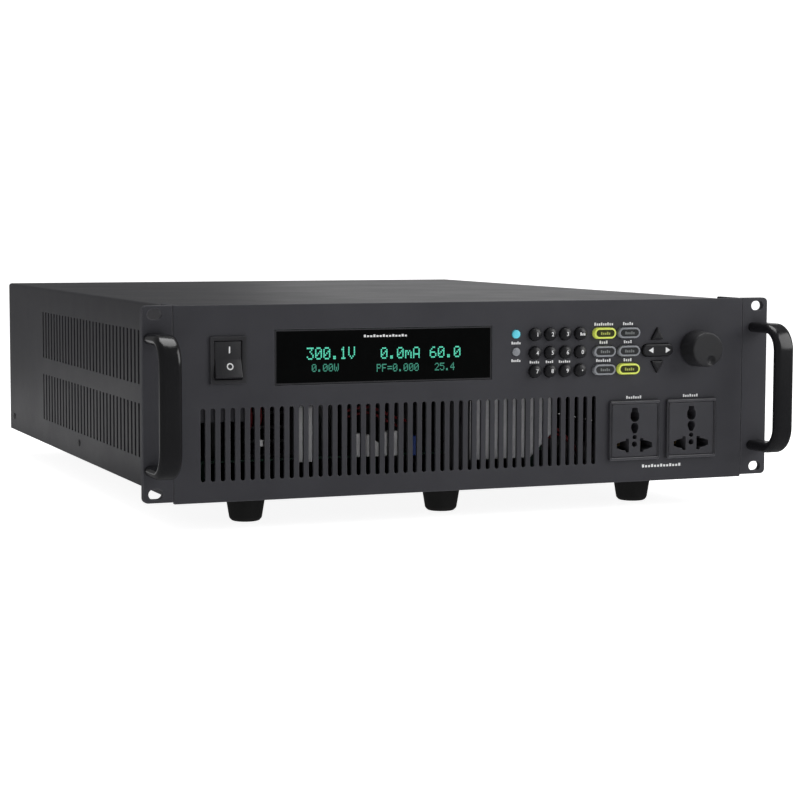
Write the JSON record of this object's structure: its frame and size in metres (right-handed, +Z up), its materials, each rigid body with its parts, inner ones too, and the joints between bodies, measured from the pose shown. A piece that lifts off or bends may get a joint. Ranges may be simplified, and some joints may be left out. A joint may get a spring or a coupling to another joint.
{
  "type": "bench power supply",
  "caption": "Rack-mount bench power supply: dark steel case with carry handles, display, keypad, tuning knob, rocker switch, front vents, mains outlets and rear fans.",
  "frame": {"origin": "on the floor plane under the feet, at the centre of the overall box", "axes": "+X to the right seen from the front, +Y from the front panel to the rear panel, +Z up"},
  "size_m": [0.4826, 0.6, 0.1542],
  "materials": {
    "case_paint": "fine textured powder coat",
    "panel_paint": "fine textured powder coat",
    "handle_gloss": "gloss enamel",
    "foot_rubber": "matt moulded rubber",
    "window_gloss": "polished",
    "circuit_board": "solder mask",
    "switch_plastic": "fine spark finish",
    "key_rubber": "satin silicone rubber",
    "key_cyan": "lit translucent",
    "key_grey": "translucent satin",
    "key_lime": "lit translucent",
    "knob_plastic": "soft-touch",
    "bare_metal": "mill finish",
    "outlet_plastic": "fine spark finish",
    "socket_plastic": "fine spark finish",
    "fan_plastic": "moulded",
    "terminal_plastic": "moulded",
    "core_iron": "varnished laminations",
    "legend_ink": "screen print",
    "display_glow": "lit segments",
    "screw_steel": "black oxide",
    "bright_steel": "zinc plate",
    "contact_brass": "plated brass",
    "wire_red": "insulation",
    "part_blue": "sleeve"
  },
  "bodies": {
    "root": {"bottom_tray": "case_paint", "display_module": "circuit_board", "display_shelf": "bare_metal", "display_window": "window_gloss", "encoder_body": "bare_metal", "fan_housing_left": "fan_plastic", "fan_housing_right": "fan_plastic", "foot_front_left": "foot_rubber", "foot_front_middle": "foot_rubber", "foot_front_right": "foot_rubber", "foot_rear_left": "foot_rubber", "foot_rear_middle": "foot_rubber", "foot_rear_right": "foot_rubber", "front_panel": "panel_paint", "handle_left": "handle_gloss", "handle_right": "handle_gloss", "heatsink": "bare_metal", "interface_module": "bare_metal", "keypad_board": "circuit_board", "main_board": "circuit_board", "outlet_bezel_left": "outlet_plastic", "outlet_bezel_right": "outlet_plastic", "outlet_insert_left": "socket_plastic", "outlet_insert_right": "socket_plastic", "output_terminal_block": "terminal_plastic", "power_inlet": "terminal_plastic", "power_switch_body": "switch_plastic", "rack_ear_left": "panel_paint", "rack_ear_right": "panel_paint", "rear_panel": "case_paint", "top_cover": "case_paint", "transformer": "core_iron"},
    "key_1": {"key_1": "key_rubber"},
    "key_2": {"key_2": "key_rubber"},
    "key_3": {"key_3": "key_rubber"},
    "key_escape": {"key_escape": "key_rubber"},
    "key_4": {"key_4": "key_rubber"},
    "key_5": {"key_5": "key_rubber"},
    "key_6": {"key_6": "key_rubber"},
    "key_0": {"key_0": "key_rubber"},
    "key_7": {"key_7": "key_rubber"},
    "key_8": {"key_8": "key_rubber"},
    "key_9": {"key_9": "key_rubber"},
    "key_point": {"key_point": "key_rubber"},
    "key_shift": {"key_shift": "key_cyan"},
    "key_local": {"key_local": "key_grey"},
    "key_volts": {"key_volts": "key_lime"},
    "key_frequency": {"key_frequency": "key_grey"},
    "key_recall": {"key_recall": "key_grey"},
    "key_select": {"key_select": "key_grey"},
    "key_enter": {"key_enter": "key_grey"},
    "key_output": {"key_output": "key_lime"},
    "key_up": {"key_up": "key_rubber"},
    "key_down": {"key_down": "key_rubber"},
    "key_left_right": {"key_left_right": "key_rubber"},
    "power_rocker": {"power_rocker": "switch_plastic"},
    "knob": {"knob": "knob_plastic", "encoder_shaft": "bare_metal"},
    "fan_rotor_left": {"fan_rotor_left": "fan_plastic"},
    "fan_rotor_right": {"fan_rotor_right": "fan_plastic"}
  },
  "joints": [
    {"name": "key_1_press", "type": "slide", "parent": "root", "child": "key_1", "axis": [0, 1, 0], "range_m": [0, 0.001], "stiffness_N_per_m": 200, "springref_m": -0.001},
    {"name": "key_2_press", "type": "slide", "parent": "root", "child": "key_2", "axis": [0, 1, 0], "range_m": [0, 0.001], "stiffness_N_per_m": 200, "springref_m": -0.001},
    {"name": "key_3_press", "type": "slide", "parent": "root", "child": "key_3", "axis": [0, 1, 0], "range_m": [0, 0.001], "stiffness_N_per_m": 200, "springref_m": -0.001},
    {"name": "key_escape_press", "type": "slide", "parent": "root", "child": "key_escape", "axis": [0, 1, 0], "range_m": [0, 0.001], "stiffness_N_per_m": 200, "springref_m": -0.001},
    {"name": "key_4_press", "type": "slide", "parent": "root", "child": "key_4", "axis": [0, 1, 0], "range_m": [0, 0.001], "stiffness_N_per_m": 200, "springref_m": -0.001},
    {"name": "key_5_press", "type": "slide", "parent": "root", "child": "key_5", "axis": [0, 1, 0], "range_m": [0, 0.001], "stiffness_N_per_m": 200, "springref_m": -0.001},
    {"name": "key_6_press", "type": "slide", "parent": "root", "child": "key_6", "axis": [0, 1, 0], "range_m": [0, 0.001], "stiffness_N_per_m": 200, "springref_m": -0.001},
    {"name": "key_0_press", "type": "slide", "parent": "root", "child": "key_0", "axis": [0, 1, 0], "range_m": [0, 0.001], "stiffness_N_per_m": 200, "springref_m": -0.001},
    {"name": "key_7_press", "type": "slide", "parent": "root", "child": "key_7", "axis": [0, 1, 0], "range_m": [0, 0.001], "stiffness_N_per_m": 200, "springref_m": -0.001},
    {"name": "key_8_press", "type": "slide", "parent": "root", "child": "key_8", "axis": [0, 1, 0], "range_m": [0, 0.001], "stiffness_N_per_m": 200, "springref_m": -0.001},
    {"name": "key_9_press", "type": "slide", "parent": "root", "child": "key_9", "axis": [0, 1, 0], "range_m": [0, 0.001], "stiffness_N_per_m": 200, "springref_m": -0.001},
    {"name": "key_point_press", "type": "slide", "parent": "root", "child": "key_point", "axis": [0, 1, 0], "range_m": [0, 0.001], "stiffness_N_per_m": 200, "springref_m": -0.001},
    {"name": "key_shift_press", "type": "slide", "parent": "root", "child": "key_shift", "axis": [0, 1, 0], "range_m": [0, 0.001], "stiffness_N_per_m": 200, "springref_m": -0.001},
    {"name": "key_local_press", "type": "slide", "parent": "root", "child": "key_local", "axis": [0, 1, 0], "range_m": [0, 0.001], "stiffness_N_per_m": 200, "springref_m": -0.001},
    {"name": "key_volts_press", "type": "slide", "parent": "root", "child": "key_volts", "axis": [0, 1, 0], "range_m": [0, 0.001], "stiffness_N_per_m": 200, "springref_m": -0.001},
    {"name": "key_frequency_press", "type": "slide", "parent": "root", "child": "key_frequency", "axis": [0, 1, 0], "range_m": [0, 0.001], "stiffness_N_per_m": 200, "springref_m": -0.001},
    {"name": "key_recall_press", "type": "slide", "parent": "root", "child": "key_recall", "axis": [0, 1, 0], "range_m": [0, 0.001], "stiffness_N_per_m": 200, "springref_m": -0.001},
    {"name": "key_select_press", "type": "slide", "parent": "root", "child": "key_select", "axis": [0, 1, 0], "range_m": [0, 0.001], "stiffness_N_per_m": 200, "springref_m": -0.001},
    {"name": "key_enter_press", "type": "slide", "parent": "root", "child": "key_enter", "axis": [0, 1, 0], "range_m": [0, 0.001], "stiffness_N_per_m": 200, "springref_m": -0.001},
    {"name": "key_output_press", "type": "slide", "parent": "root", "child": "key_output", "axis": [0, 1, 0], "range_m": [0, 0.001], "stiffness_N_per_m": 200, "springref_m": -0.001},
    {"name": "key_up_press", "type": "slide", "parent": "root", "child": "key_up", "axis": [0, 1, 0], "range_m": [0, 0.001], "stiffness_N_per_m": 200, "springref_m": -0.001},
    {"name": "key_down_press", "type": "slide", "parent": "root", "child": "key_down", "axis": [0, 1, 0], "range_m": [0, 0.001], "stiffness_N_per_m": 200, "springref_m": -0.001},
    {"name": "key_left_right_rock", "type": "hinge", "parent": "root", "child": "key_left_right", "pos_m": [0.1474, -0.2551, 0.11675], "axis": [0, 0, 1], "range_deg": [-3, 3], "stiffness_Nm_per_rad": 0.2},
    {"name": "power_rocker_tilt", "type": "hinge", "parent": "root", "child": "power_rocker", "pos_m": [-0.1819, -0.258, 0.11675], "axis": [1, 0, 0], "range_deg": [0, 16]},
    {"name": "knob_turn", "type": "hinge", "parent": "root", "child": "knob", "pos_m": [0.1796, -0.2595, 0.11735], "axis": [0, 1, 0], "continuous": true},
    {"name": "fan_left_spin", "type": "hinge", "parent": "root", "child": "fan_rotor_left", "pos_m": [0.058, 0.2712, 0.09115], "axis": [0, 1, 0], "continuous": true},
    {"name": "fan_right_spin", "type": "hinge", "parent": "root", "child": "fan_rotor_right", "pos_m": [0.15, 0.2712, 0.09115], "axis": [0, 1, 0], "continuous": true}
  ]
}
